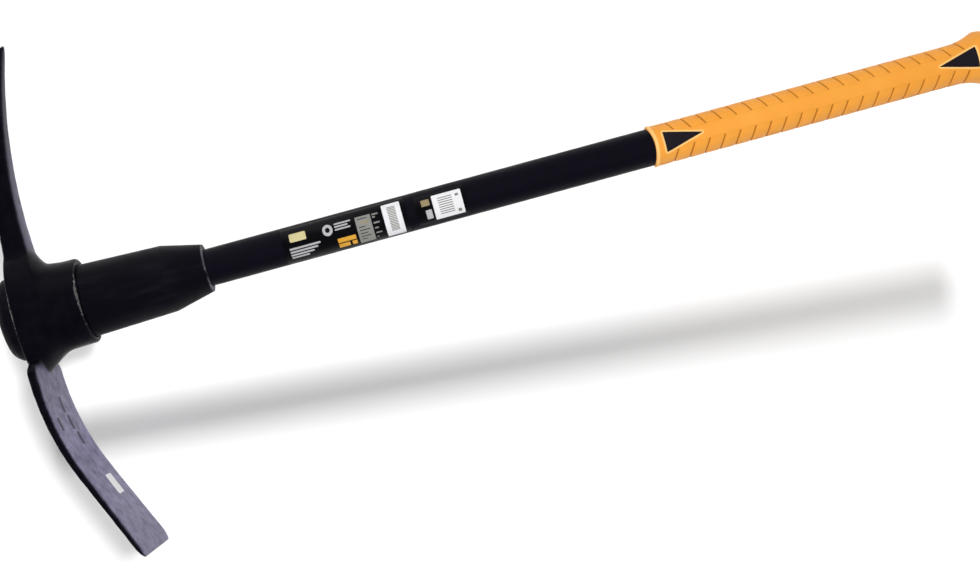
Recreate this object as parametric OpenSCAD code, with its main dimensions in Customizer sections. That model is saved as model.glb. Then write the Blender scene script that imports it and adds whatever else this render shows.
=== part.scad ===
// Pick mattock: a forged steel head on a fibreglass handle with a rubber grip.
// +X runs along the handle to the butt, +Y points to the pick and +Z is up, square to the plane
// of the head. The origin is the middle of the flat top end of the handle.

/* [Handle] */
// Length of the handle, from its flat top end to the butt
handle_len = 914; // [860:1:960]
// Height of the shaft, in the plane of the head
shaft_h = 33.4; // [32:0.1:34.4]
// Depth of the shaft, square to the plane of the head
shaft_d = 25.5; // [24:0.1:27]
// Wall of the plastic jacket round the core
jacket_t = 3; // [2.4:0.1:3.6]
// Wall of the jacket where the grip covers it
covered_jacket_t = 1.5; // [1:0.1:1.9]

/* [Eye sleeve] */
// How far the flared top stands above the eye
top_proud = 13; // [10:0.5:16]
// Height of the flared top at its widest
top_flare_h = 75; // [74:0.5:77]
// Height of the flared top's shoulder, which rests on the eye's top rim
shoulder_h = 73; // [71:0.5:74]
// Length of the plug that closes the top end
plug_len = 10; // [6:0.5:14]
// Length of the sleeve's neck below the eye
neck_len = 74; // [60:1:90]
// Height of the neck at its lower end
neck_end_h = 60.2; // [56:0.2:62]
// Length of the sleeve's sloping nose
nose_len = 36; // [26:1:46]
// Height of the nose at its lower end
nose_end_h = 43; // [41:0.2:46]
// Length of jacket that the sleeve covers
jacket_lap = 40; // [25:1:55]
// Thickness of the adhesive between the core and the sleeve
bond_t = 1; // [0.6:0.1:1.6]
// Clearance between the sleeve and the eye's hole, on each side
sleeve_fit = 0.2; // [0.1:0.05:0.4]

/* [Eye] */
// Length of the eye along the handle
eye_len = 60; // [54:1:70]
// Outer height of the eye at its top rim
eye_top_h = 79; // [77:0.5:84]
// Outer height of the eye at its bottom rim
eye_bottom_h = 75.5; // [74:0.5:78]
// Outer depth of the eye
eye_d = 59; // [56:0.5:64]
// Height of the eye's hole at its top rim
bore_top_h = 68; // [66:0.5:70]
// Height of the eye's hole at its bottom rim
bore_bottom_h = 66; // [63:0.5:66.5]
// Depth of the eye's hole at its top rim
bore_d = 49; // [46:0.5:51]
// How far the eye flares into the root of the blade
blade_gusset = 17; // [10:0.5:20]
// How far the eye flares into the root of the pick
pick_gusset = 18; // [12:0.5:20]
// Bevel round both rims of the eye
rim_bevel = 1.5; // [0.5:0.1:2]

/* [Pick] */
// Reach of the pick's point from the axis of the handle
pick_reach = 239; // [200:1:270]
// Thickness of the pick at its root, in the plane of the head
pick_root_t = 24; // [20:0.5:28]
// Depth of the pick at its root
pick_root_d = 26; // [22:0.5:30]
// Thickness of the pick where its point begins
pick_end_t = 7; // [5:0.5:10]
// Depth of the pick where its point begins
pick_end_d = 8; // [5:0.5:10]
// Distance from the eye's top rim to the pick's inner edge, where that edge runs square to the handle
pick_drop = 22.5; // [20:0.5:25]
// How much deeper the pick grows where it runs into the eye
pick_root_flare = 18; // [10:0.5:20]
// Length of that flare
pick_flare_len = 30; // [24:0.5:40]
// Length of the blunt point
pick_point_len = 9; // [5:0.5:14]
// Radius of the pick's inner edge
pick_bend_r = 510; // [420:5:700]
// Distance from the axis at which the pick's inner edge runs square to the handle
pick_level = 80; // [60:1:100]

/* [Blade] */
// Reach of the cutting edge from the axis of the handle
blade_reach = 228; // [200:1:250]
// Distance from the eye's top rim to the back of the blade at its root
blade_drop = 2; // [0:0.5:6]
// Width of the blade at its root
blade_root_w = 70; // [66:0.5:78]
// Width of the blade near the cutting edge
blade_end_w = 90; // [84:0.5:104]
// Thickness of the blade at its root
blade_root_t = 9; // [8:0.1:11]
// Thickness of the blade where the cutting bevel begins
blade_end_t = 5; // [4:0.1:6]
// Length of the cutting bevel
bevel_len = 9; // [5:0.5:14]
// Radius of the blade's bend
blade_bend_r = 245; // [210:1:300]
// Angle through which the blade bends towards the handle
blade_bend_angle = 23.5; // [18:0.5:28]
// Distance from the axis at which the bend starts
blade_bend_start = 50; // [46:1:60]

/* [Grip] */
// Length of the grip, from its front edge to the butt
grip_len = 323; // [280:1:360]
// Height of the grip
grip_h = 36.4; // [36:0.1:39]
// Depth of the grip
grip_d = 28.4; // [28:0.1:31]
// Height of the flared butt at its widest
flare_h = 48; // [44:0.5:54]
// Length of the flare
flare_len = 32; // [24:1:40]
// Length of the rounded end behind the flare
butt_len = 19; // [14:0.5:24]
// Height of the flat end of the butt
butt_end_h = 32; // [24:0.5:38]
// How far the grip's front edge is drawn back on its faces
grip_scallop = 3; // [1:0.5:5]
// Number of grooves in each row
groove_count = 20; // [10:1:20]
// Distance between grooves
groove_pitch = 14.2; // [11:0.1:14.3]
// Width of a groove
groove_w = 1.8; // [1:0.1:3]
// Depth of a groove
groove_depth = 1; // [0.6:0.1:1.4]
// How far a groove reaches in from the edge of the grip
groove_reach = 11.5; // [7:0.5:13]
// How far a groove leans towards the butt over that reach
groove_lean = 6; // [2:0.5:8]
// Distance from the base of the first inlay to the inner end of the first groove
groove_start = 11; // [8:0.5:14]
// Least width of rubber between a groove and an inlay
groove_margin = 1.8; // [1:0.1:3]

/* [Inlays] */
// Length of a triangular inlay
inlay_len = 35; // [25:0.5:45]
// Width of an inlay at its base
inlay_w = 19; // [14:0.5:21]
// How far an inlay's face lies below the surface of the grip
inlay_sink = 0.3; // [0.1:0.1:0.6]
// Distance from the grip's front edge to the first inlay
fore_inlay_gap = 12; // [10:0.5:24]
// Distance from the butt's flat end to the base of the second inlay
butt_inlay_gap = 22; // [19:0.5:30]

/* [Hidden] */
$fn = 96;

lacquer = [0.07, 0.07, 0.09];
black_plastic = [0.10, 0.10, 0.12];
dull_black = [0.16, 0.16, 0.18];
glass_fibre = [0.80, 0.74, 0.55];
resin = [0.72, 0.60, 0.34];
orange_rubber = [0.98, 0.69, 0.25];

// Overrun of every cut past the face that it opens
cut = 1;
// Clearance round the top plug, the jacket's end and the inlays
loose_fit = 0.15;
// Bevel round the edge of the flared top
top_bevel = 3;
// Wall of rubber over the end of the core
butt_wall = 12;
// Length of plain collar between the eye's bottom rim and each gusset
blade_gusset_rim = 23;
pick_gusset_rim = 25;
// Corner radius of the forged arms
arm_corner_r = 3;
// Sides of every oval, and steps along each shaped form
oval_sides = 48;
eye_steps = 16;
corner_steps = 3;
pick_steps = 14;
root_steps = 5;
bend_steps = 10;
straight_steps = 5;
pick_root_steps = 5;
flare_steps = 8;
butt_steps = 6;
// Largest share of a half size that a corner's rounding takes
corner_share = 0.9;
// Shares that shape the cutting edge and the blunt point
edge_t_share = 0.3;
edge_corner_share = 0.06;
point_end_share = 0.4;

eye_top = top_proud;
eye_bottom = eye_top + eye_len;
neck_end = eye_bottom + neck_len;
sleeve_end = neck_end + nose_len;
jacket_top = sleeve_end - jacket_lap;
core_end = handle_len - butt_wall;
grip_front = handle_len - grip_len;
butt_start = handle_len - butt_len;
flare_start = butt_start - flare_len;
core_h = shaft_h - 2 * jacket_t;
core_d = shaft_d - 2 * jacket_t;
covered_h = core_h + 2 * covered_jacket_t;
covered_d = core_d + 2 * covered_jacket_t;
sleeve_bore_h = core_h + 2 * bond_t;
sleeve_bore_d = core_d + 2 * bond_t;
bore_depth_share = bore_d / bore_top_h;
grip_depth_share = grip_d / grip_h;
fore_base = grip_front + fore_inlay_gap;
butt_base = handle_len - butt_inlay_gap;

function mix(a, b, share) = a + (b - a) * share;
function smooth(share) = share * share * (3 - 2 * share);

// An oval outline as [across the depth, up the height] points
function oval(half_h, half_d) =
    [for (i = [0 : oval_sides - 1])
        let (turn = 360 * i / oval_sides)
        [half_d * sin(turn), half_h * cos(turn)]];

// A bar of constant oval section along X
module oval_bar(h, d, from, to) {
    translate([from, 0, 0])
        rotate([0, 90, 0])
            linear_extrude(to - from)
                polygon(oval(h / 2, d / 2));
}

// A body of changing oval section along X, from stations of [half height, place along X]
module oval_loft(depth_share, stations) {
    loft([for (s = stations)
        [for (p = oval(s[0], s[0] * depth_share)) [s[1], p[1], p[0]]]]);
}

// A closed skin over rings that all have the same number of points, with flat ends
module loft(rings) {
    sides = len(rings[0]);
    last = len(rings) - 1;
    polyhedron(
        [for (ring = rings) each ring],
        concat(
            [for (k = [0 : last - 1], i = [0 : sides - 1])
                let (j = (i + 1) % sides, a = k * sides, b = a + sides)
                each [[a + i, b + i, b + j], [a + i, b + j, a + j]]],
            [[for (i = [0 : sides - 1]) i]],
            [[for (i = [sides - 1 : -1 : 0]) last * sides + i]]
        )
    );
}

// An oblong with rounded corners, as [along, across] points
function oblong(half_a, half_b, r) =
    let (corner = min(r, corner_share * half_a, corner_share * half_b))
    [for (q = [0 : 3], k = [0 : corner_steps])
        let (
            turn = 90 * (q + k / corner_steps),
            a = (q == 0 || q == 3 ? 1 : -1) * (half_a - corner),
            b = (q < 2 ? 1 : -1) * (half_b - corner)
        )
        [a + corner * cos(turn), b + corner * sin(turn)]];

// One ring of the eye: an oval that reaches further on the blade's side or on the pick's side
function eye_ring(x, pick_half, blade_half, half_d) =
    [for (p = oval(1, half_d))
        [x, p[1] * (p[1] > 0 ? pick_half : blade_half), p[0]]];

// The collar of the eye, which flares towards its top into the roots of both arms
module eye_collar() {
    blade_flare_len = eye_len - blade_gusset_rim;
    pick_flare_from = eye_top + pick_drop;
    pick_flare_to = eye_bottom - pick_gusset_rim;
    stations = concat(
        [eye_top],
        [for (k = [0 : eye_steps]) mix(eye_top + rim_bevel, eye_bottom - rim_bevel, k / eye_steps)],
        [eye_bottom]
    );
    loft([for (x = stations)
        let (
            bevel = x == eye_top || x == eye_bottom ? rim_bevel : 0,
            half = mix(eye_top_h, eye_bottom_h, (x - eye_top) / eye_len) / 2 - bevel,
            blade_share = max(0, 1 - (x - eye_top) / blade_flare_len),
            pick_share = max(0, min(1, (pick_flare_to - x) / (pick_flare_to - pick_flare_from)))
        )
        eye_ring(
            x,
            half + pick_gusset * pow(pick_share, 2),
            half + blade_gusset * smooth(blade_share),
            eye_d / 2 - bevel
        )]);
}

// The tapered oval hole through the eye
module eye_bore() {
    oval_loft(bore_depth_share, [
        [bore_top_h / 2, eye_top - cut],
        [bore_top_h / 2, eye_top],
        [bore_bottom_h / 2, eye_bottom],
        [bore_bottom_h / 2, eye_bottom + cut]
    ]);
}

// One ring of the pick, on a spoke of the circle that its inner edge follows
function pick_ring(turn, t, d) =
    let (
        middle_x = eye_top + pick_drop + pick_bend_r,
        outline = oblong(t / 2, d / 2, arm_corner_r)
    )
    [for (p = outline)
        let (r = pick_bend_r + t / 2 + p[0])
        [middle_x - r * cos(turn), pick_level + r * sin(turn), p[1]]];

// The curved pick: deeper where it runs into the eye, then an even taper to a blunt point
module pick_arm() {
    root_y = bore_top_h / 2;
    root_turn = asin((root_y - pick_level) / pick_bend_r);
    flare_turn = asin((root_y + pick_flare_len - pick_level) / pick_bend_r);
    tip_turn = asin((pick_reach - pick_level) / (pick_bend_r + pick_end_t / 2));
    point_turn = tip_turn - asin(pick_point_len / pick_bend_r);
    turns = concat(
        [for (k = [0 : pick_root_steps - 1]) mix(root_turn, flare_turn, k / pick_root_steps)],
        [for (k = [0 : pick_steps]) mix(flare_turn, point_turn, k / pick_steps)]
    );
    loft(concat(
        [for (turn = turns)
            let (
                share = (turn - root_turn) / (point_turn - root_turn),
                flare_share = max(0, (flare_turn - turn) / (flare_turn - root_turn))
            )
            pick_ring(
                turn,
                mix(pick_root_t, pick_end_t, share),
                mix(pick_root_d, pick_end_d, share) + pick_root_flare * pow(flare_share, 2)
            )],
        [pick_ring(tip_turn, pick_end_t * point_end_share, pick_end_d * point_end_share)]
    ));
}

// One ring of the blade at a place on its middle line, square to that line
function blade_ring(x, y, turn, t, w) =
    [for (p = oblong(t / 2, w / 2, arm_corner_r))
        [x + p[0] * cos(turn), y + p[0] * sin(turn), p[1]]];

// The broad blade: shoulders that widen from the eye, a bend, a straight stretch and a cutting bevel
module blade_arm() {
    middle_x = eye_top + blade_drop + blade_root_t / 2;
    bend_len = blade_bend_r * blade_bend_angle * PI / 180;
    bend_end_x = middle_x + blade_bend_r * (1 - cos(blade_bend_angle));
    bend_end_y = -blade_bend_start - blade_bend_r * sin(blade_bend_angle);
    straight_len = (blade_reach + bend_end_y) / cos(blade_bend_angle) - bevel_len;
    face_len = bend_len + straight_len;
    root_y = -bore_top_h / 2;
    loft(concat(
        [for (k = [0 : root_steps - 1])
            let (share = k / root_steps)
            blade_ring(middle_x, mix(root_y, -blade_bend_start, share), 0, blade_root_t,
                mix(eye_d / 2, blade_root_w, smooth(share)))],
        [for (k = [0 : bend_steps - 1])
            let (
                share = k / bend_steps,
                turn = blade_bend_angle * share,
                along_share = share * bend_len / face_len
            )
            blade_ring(
                middle_x + blade_bend_r * (1 - cos(turn)),
                -blade_bend_start - blade_bend_r * sin(turn),
                turn,
                mix(blade_root_t, blade_end_t, along_share),
                mix(blade_root_w, blade_end_w, along_share)
            )],
        [for (k = [0 : straight_steps])
            let (
                share = k / straight_steps,
                along = straight_len * share,
                along_share = (bend_len + along) / face_len
            )
            blade_ring(
                bend_end_x + along * sin(blade_bend_angle),
                bend_end_y - along * cos(blade_bend_angle),
                blade_bend_angle,
                mix(blade_root_t, blade_end_t, along_share),
                mix(blade_root_w, blade_end_w, along_share)
            )],
        [blade_ring(
            bend_end_x + (straight_len + bevel_len) * sin(blade_bend_angle),
            bend_end_y - (straight_len + bevel_len) * cos(blade_bend_angle),
            blade_bend_angle,
            blade_end_t * edge_t_share,
            blade_end_w * (1 - edge_corner_share)
        )]
    ));
}

// Forged in one piece: the eye, the pick and the blade
module mattock_head() {
    color(lacquer)
        difference() {
            union() {
                eye_collar();
                pick_arm();
                blade_arm();
            }
            eye_bore();
        }
}

// The pultruded rod that carries the load, from the top plug to the butt
module fibreglass_core() {
    color(glass_fibre)
        oval_bar(core_h, core_d, plug_len, core_end);
}

// The plastic jacket over the rod, thinner where the grip covers it
module shaft_jacket() {
    color(black_plastic)
        difference() {
            oval_bar(shaft_h, shaft_d, jacket_top, core_end);
            oval_bar(core_h, core_d, jacket_top - cut, core_end + cut);
            difference() {
                behind_grip_edge();
                oval_bar(covered_h, covered_d, grip_front - cut, handle_len);
            }
        }
}

// The moulded sleeve: a flared top that stops the head, a taper that fills the eye, a neck and a nose
module eye_sleeve() {
    color(black_plastic)
        difference() {
            oval_loft(bore_depth_share, [
                [top_flare_h / 2 - top_bevel, 0],
                [top_flare_h / 2, top_bevel],
                [shoulder_h / 2, eye_top],
                [bore_top_h / 2 - sleeve_fit, eye_top],
                [bore_bottom_h / 2 - sleeve_fit, eye_bottom],
                [neck_end_h / 2, neck_end],
                [nose_end_h / 2, sleeve_end]
            ]);
            oval_bar(sleeve_bore_h, sleeve_bore_d, -cut, jacket_top + cut);
            oval_bar(shaft_h + 2 * loose_fit, shaft_d + 2 * loose_fit, jacket_top, sleeve_end + cut);
        }
}

// The adhesive that fixes the sleeve to the bare end of the rod
module sleeve_bond() {
    color(resin)
        difference() {
            oval_bar(sleeve_bore_h, sleeve_bore_d, plug_len, jacket_top);
            oval_bar(core_h, core_d, plug_len - cut, jacket_top + cut);
        }
}

// The plug that closes the sleeve over the end of the rod
module top_plug() {
    color(dull_black)
        oval_bar(sleeve_bore_h - 2 * loose_fit, sleeve_bore_d - 2 * loose_fit, 0, plug_len);
}

// All the space behind the grip's front edge, which is drawn back on both faces
module behind_grip_edge() {
    edge_r = (pow(grip_d / 2, 2) + pow(grip_scallop, 2)) / (2 * grip_scallop);
    rotate([90, 0, 0])
        linear_extrude(flare_h + 2 * cut, center = true) {
            translate([grip_front + edge_r, 0])
                circle(r = edge_r);
            translate([grip_front + edge_r, -edge_r])
                square([grip_len, 2 * edge_r]);
        }
}

// The outside of the grip, drawn in by a depth, from a place ahead of its flare
module grip_body(inset, from) {
    half = grip_h / 2 - inset;
    flare_half = flare_h / 2 - inset;
    end_half = butt_end_h / 2 - inset;
    oval_loft(grip_depth_share, concat(
        [[half, from]],
        [for (k = [0 : flare_steps])
            let (share = k / flare_steps)
            [mix(half, flare_half, pow(share, 3)), flare_start + flare_len * share]],
        [for (k = [1 : butt_steps])
            let (turn = 90 * k / butt_steps)
            [mix(end_half, flare_half, cos(turn)), butt_start + butt_len * sin(turn)]]
    ));
}

// The outline of an inlay or of its window: a triangle, drawn in by a clearance
module inlay_outline(base_x, tip_x, inset) {
    way = tip_x > base_x ? 1 : -1;
    slant_len = sqrt(pow(inlay_len, 2) + pow(inlay_w / 2, 2));
    tip_inset = inset * slant_len / (inlay_w / 2);
    base_half = (inlay_len - inset - tip_inset) * inlay_w / 2 / inlay_len;
    polygon([
        [base_x + way * inset, base_half],
        [base_x + way * inset, -base_half],
        [tip_x - way * tip_inset, 0]
    ]);
}

// A pair of inlays, one on each face, that lie on the jacket
module inlay_pair(base_x, tip_x) {
    intersection() {
        linear_extrude(flare_h, center = true)
            inlay_outline(base_x, tip_x, loose_fit);
        difference() {
            children();
            oval_bar(covered_h, covered_d, grip_front, handle_len);
        }
    }
}

// Half the width of the inlays at a place along X
function inlay_half(x) =
    let (fore_share = 1 - (x - fore_base) / inlay_len, butt_share = 1 - (butt_base - x) / inlay_len)
    max(0, fore_share <= 1 ? fore_share : 0, butt_share) * inlay_w / 2;

// Two rows of slanting grooves, mirrored about the axis and stopped short of the inlays
module groove_outlines() {
    outer = flare_h / 2;
    lean_share = groove_lean / groove_reach;
    for (side = [-1, 1], k = [0 : groove_count - 1]) {
        inner_x = fore_base + groove_start + k * groove_pitch;
        clear = max(inlay_half(inner_x), inlay_half(inner_x + groove_w)) + groove_margin;
        inner = max(grip_h / 2 - groove_reach, clear);
        outer_x = inner_x - (outer - inner) * lean_share;
        polygon([
            [outer_x, side * outer],
            [outer_x + groove_w, side * outer],
            [inner_x + groove_w, side * inner],
            [inner_x, side * inner]
        ]);
    }
}

// Soft rubber moulded over the jacket, with a window for each inlay
module grip() {
    color(orange_rubber)
        difference() {
            intersection() {
                grip_body(0, grip_front - cut);
                behind_grip_edge();
            }
            oval_bar(covered_h, covered_d, grip_front - cut, core_end);
            linear_extrude(flare_h, center = true) {
                inlay_outline(fore_base, fore_base + inlay_len, 0);
                inlay_outline(butt_base, butt_base - inlay_len, 0);
            }
            difference() {
                linear_extrude(flare_h, center = true)
                    groove_outlines();
                grip_body(groove_depth, grip_front - cut);
            }
        }
}

// The two triangles near the grip's front edge, pointing to the butt
module fore_inlays() {
    color(dull_black)
        inlay_pair(fore_base, fore_base + inlay_len)
            oval_bar(grip_h - 2 * inlay_sink, grip_d - 2 * inlay_sink, grip_front, flare_start);
}

// The two triangles on the flare, pointing to the head
module butt_inlays() {
    color(dull_black)
        inlay_pair(butt_base, butt_base - inlay_len)
            grip_body(inlay_sink, butt_base - 2 * inlay_len);
}

mattock_head();
fibreglass_core();
shaft_jacket();
eye_sleeve();
sleeve_bond();
top_plug();
grip();
fore_inlays();
butt_inlays();
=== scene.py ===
# Pick mattock: a forged head on a fibreglass handle with a rubber grip.
# Sizes are in millimetres from the middle of the handle's flat top end: X runs to the butt, Y to
# the pick and Z up. A mesh is turned to metres when it becomes a piece.
import math

import bmesh
import bpy
from mathutils import Matrix, Vector, noise


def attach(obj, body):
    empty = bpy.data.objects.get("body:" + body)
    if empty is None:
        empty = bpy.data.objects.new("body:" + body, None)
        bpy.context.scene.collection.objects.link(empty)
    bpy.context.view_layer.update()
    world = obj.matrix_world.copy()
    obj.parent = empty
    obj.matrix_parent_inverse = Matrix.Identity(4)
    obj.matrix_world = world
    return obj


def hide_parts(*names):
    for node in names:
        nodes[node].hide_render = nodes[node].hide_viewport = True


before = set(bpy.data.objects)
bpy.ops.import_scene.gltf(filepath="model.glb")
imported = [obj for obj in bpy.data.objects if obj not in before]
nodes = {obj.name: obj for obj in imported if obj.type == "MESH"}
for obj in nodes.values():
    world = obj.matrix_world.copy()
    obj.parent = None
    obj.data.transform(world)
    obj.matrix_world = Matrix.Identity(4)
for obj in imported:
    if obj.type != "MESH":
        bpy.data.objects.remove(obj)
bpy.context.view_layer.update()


# Fibreglass core
# The rod that carries the load: glass rovings in polyester, drawn through a die, so it shows
# straight pale streaks. It is glued into the sleeve, and the jacket and the grip cover it.
def linear(colour):
    """An sRGB hex value as a linear colour."""
    shares = [int(colour[i : i + 2], 16) / 255 for i in (0, 2, 4)]
    return [s / 12.92 if s <= 0.04045 else ((s + 0.055) / 1.055) ** 2.4 for s in shares] + [1]


def add(tree, kind, sockets=None, **settings):
    """Adds one shader node; each socket, by name or number, takes a value or another node's output."""
    made = tree.nodes.new("ShaderNode" + kind)
    for name, value in settings.items():
        setattr(made, name, value)
    for name, value in (sockets or {}).items():
        if isinstance(value, bpy.types.NodeSocket):
            tree.links.new(value, made.inputs[name])
        else:
            made.inputs[name].default_value = value
    return made


def new_finish(name):
    """An empty material, its tree and the place of each point in metres."""
    finish = bpy.data.materials.new(name)
    finish.use_nodes = True
    finish.node_tree.nodes.clear()
    return finish, finish.node_tree, add(finish.node_tree, "TexCoord").outputs["Object"]


# Pultruded polyester: cream, half matt, with a streak for each roving, drawn out along the rod. A Mix
# of colours takes its share at socket 0 and its two colours at 6 and 7, and gives output 2.
roving_mm, lengthwise = 1.5, 0.02
glass_rod, tree, place = new_finish("pultruded_fibreglass")
drawn = add(tree, "Mapping", {"Vector": place, "Scale": (lengthwise, 1, 1)})
roving_and_sheen_streak = add(tree, "TexNoise", {"Vector": drawn.outputs[0], "Scale": 1000 / roving_mm, "Detail": 2})
tint = add(tree, "Mix", {
    0: roving_and_sheen_streak.outputs[0], 6: linear("C9BC93"), 7: linear("E8E0C4"),
}, data_type="RGBA")
shader = add(tree, "BsdfPrincipled", {"Base Color": tint.outputs[2], "Roughness": 0.45, "IOR": 1.55})
add(tree, "OutputMaterial", {"Surface": shader.outputs[0]})
nodes["fibreglass_core"].material_slots[0].material = glass_rod


# Bond
# The adhesive between the rod and the sleeve: amber epoxy, poured in and cured, so it is smooth with
# a few clouds in it. The sleeve and the plug hide it.
cloud_mm = 6
epoxy, tree, place = new_finish("amber_epoxy")
cloud = add(tree, "TexNoise", {"Vector": place, "Scale": 1000 / cloud_mm, "Detail": 3})
tint = add(tree, "Mix", {
    0: cloud.outputs[0], 6: linear("A87B34"), 7: linear("C99B4E"),
}, data_type="RGBA")
shader = add(tree, "BsdfPrincipled", {"Base Color": tint.outputs[2], "Roughness": 0.2, "IOR": 1.55})
add(tree, "OutputMaterial", {"Surface": shader.outputs[0]})
nodes["sleeve_bond"].material_slots[0].material = epoxy


# Top plug
# A flat oval cap of dull black nylon that closes the sleeve over the end of the rod. It is moulded,
# with a rounded edge and a shallow dish, and pressed in flush.
def oval(x, half_h, half_d):
    """The place of an oval across the handle: takes the unit circle to that size at x."""
    return Matrix(((0, 0, 1, x), (half_h, 0, 0, 0), (0, half_d, 0, 0), (0, 0, 0, 1)))


def ring_edges(ring):
    """The edges that run round a ring of vertices."""
    inside = set(ring)
    edges = dict.fromkeys(e for v in ring for e in v.link_edges)
    return [e for e in edges if inside.issuperset(e.verts)]


def sweep(bm, ring, places):
    """Draws a ring, made at the first place, through all the others, and returns every ring."""
    rings = [ring]
    for here, there in zip(places, places[1:]):
        made = bmesh.ops.extrude_edge_only(bm, edges=ring_edges(rings[-1]))["geom"]
        ring = [part for part in made if isinstance(part, bmesh.types.BMVert)]
        bmesh.ops.transform(bm, matrix=there @ here.inverted(), verts=ring)
        rings.append(ring)
    return rings


def oval_sweep(bm, places, sides=96):
    """A skin through ovals."""
    first = bmesh.ops.create_circle(bm, segments=sides, radius=1, matrix=places[0])["verts"]
    return sweep(bm, first, places)


def soften(bm, rings, width):
    """Rounds the edges that run round these rings."""
    rims = [e for ring in rings for e in ring_edges(ring)]
    bmesh.ops.bevel(
        bm, geom=rims, offset=width, affect="EDGES", segments=3, profile=0.5, material=-1
    )


def put_on_tool(name, bm, finish, slot, *stands_for, crease=32):
    """Turns a mesh in millimetres into a piece that rides on the tool."""
    bmesh.ops.recalc_face_normals(bm, faces=bm.faces)
    bmesh.ops.scale(bm, vec=(0.001, 0.001, 0.001), verts=bm.verts)
    mesh = bpy.data.meshes.new(name)
    bm.to_mesh(mesh)
    bm.free()
    mesh.shade_smooth()
    mesh.set_sharp_from_angle(angle=math.radians(crease))
    mesh.materials.append(finish)
    piece = bpy.data.objects.new(name, mesh)
    bpy.context.scene.collection.objects.link(piece)
    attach(piece, "root")
    if stands_for:
        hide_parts(*stands_for)
    return piece


plug_half_h, plug_half_d, plug_len = 14.55, 10.6, 10
plug_dish, dish_floor, dish_mouth = 0.8, 0.2, 0.75
plug_rim_w, plug_round = 1, 0.3
bm = bmesh.new()
rings = oval_sweep(bm, [
    oval(plug_dish, plug_half_h * dish_floor, plug_half_d * dish_floor),
    oval(plug_dish, plug_half_h * dish_mouth, plug_half_d * dish_mouth),
    oval(0, plug_half_h - plug_rim_w, plug_half_d - plug_rim_w),
    oval(0, plug_half_h, plug_half_d),
    oval(plug_len, plug_half_h, plug_half_d),
])
for end in (rings[0], rings[-1]):
    bmesh.ops.edgeloop_fill(bm, edges=ring_edges(end))
soften(bm, rings[2:4], plug_round)

# Moulded nylon: near black and dull, with a spark-eroded grain, drawn coarser than it is so that it
# shows.
plug_grain_mm = 0.5
dull_nylon, tree, place = new_finish("dull_black_nylon")
grain = add(tree, "TexNoise", {"Vector": place, "Scale": 1000 / plug_grain_mm, "Detail": 2})
tint = add(tree, "Mix", {
    0: grain.outputs[0], 6: linear("121216"), 7: linear("1D1D22"),
}, data_type="RGBA")
bump = add(tree, "Bump", {"Height": grain.outputs[0], "Strength": 0.25, "Distance": 0.0002})
shader = add(tree, "BsdfPrincipled", {
    "Base Color": tint.outputs[2], "Roughness": 0.6, "IOR": 1.5, "Normal": bump.outputs[0],
})
add(tree, "OutputMaterial", {"Surface": shader.outputs[0]})
put_on_tool("plug_cap", bm, dull_nylon, "plug", "top_plug")


# Shaft jacket
# The long oval skin of the shaft: black polypropylene run over the rod, smooth from the die. It is
# thinner where the grip is moulded over it, and the step follows the grip's drawn-back front edge.
shaft_half_h, shaft_half_d = 16.7, 12.75
rod_half_h, rod_half_d = 13.7, 9.75
covered_half_h, covered_half_d = 15.2, 11.25
jacket_top, jacket_end = 143, 902
grip_front, front_scallop = 591, 3


def follow_front(ring):
    """Draws a ring back on both faces of the handle, as the grip's front edge is."""
    for v in ring:
        wide = math.hypot(v.co.y / shaft_half_h, v.co.z / shaft_half_d)
        v.co.x += front_scallop * (v.co.z / shaft_half_d / wide) ** 2


bm = bmesh.new()
rings = oval_sweep(bm, [
    oval(jacket_top, shaft_half_h, shaft_half_d),
    oval(grip_front, shaft_half_h, shaft_half_d),
    oval(grip_front, covered_half_h, covered_half_d),
    oval(jacket_end, covered_half_h, covered_half_d),
    oval(jacket_end, rod_half_h, rod_half_d),
    oval(jacket_top, rod_half_h, rod_half_d),
])
bmesh.ops.bridge_loops(bm, edges=ring_edges(rings[0]) + ring_edges(rings[-1]))
follow_front(rings[1])
follow_front(rings[2])

# Extruded polypropylene: blue-black and half glossy, with faint lines drawn along it by the die,
# coarser than they are so that they show, and small scuffs from the shop.
die_line_mm, lengthwise, scuff_mm = 0.8, 0.015, 9
jacket_plastic, tree, place = new_finish("black_polypropylene")
drawn = add(tree, "Mapping", {"Vector": place, "Scale": (lengthwise, 1, 1)})
die_lines = add(tree, "TexNoise", {"Vector": drawn.outputs[0], "Scale": 1000 / die_line_mm, "Detail": 2})
scuffs = add(tree, "TexNoise", {"Vector": place, "Scale": 1000 / scuff_mm, "Detail": 6, "Roughness": 0.7})
tint = add(tree, "Mix", {
    0: scuffs.outputs[0], 6: linear("07060D"), 7: linear("0E0C17"),
}, data_type="RGBA")
roughness = add(tree, "MapRange", {
    "Value": scuffs.outputs[0], "From Min": 0.3, "From Max": 0.75, "To Min": 0.42, "To Max": 0.58,
})
bump = add(tree, "Bump", {"Height": die_lines.outputs[0], "Strength": 0.12, "Distance": 0.0002})
shader = add(tree, "BsdfPrincipled", {
    "Base Color": tint.outputs[2],
    "Roughness": roughness.outputs[0],
    "IOR": 1.25,
    "Normal": bump.outputs[0],
})
add(tree, "OutputMaterial", {"Surface": shader.outputs[0]})
put_on_tool("shaft_skin", bm, jacket_plastic, "jacket", "shaft_jacket")


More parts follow.
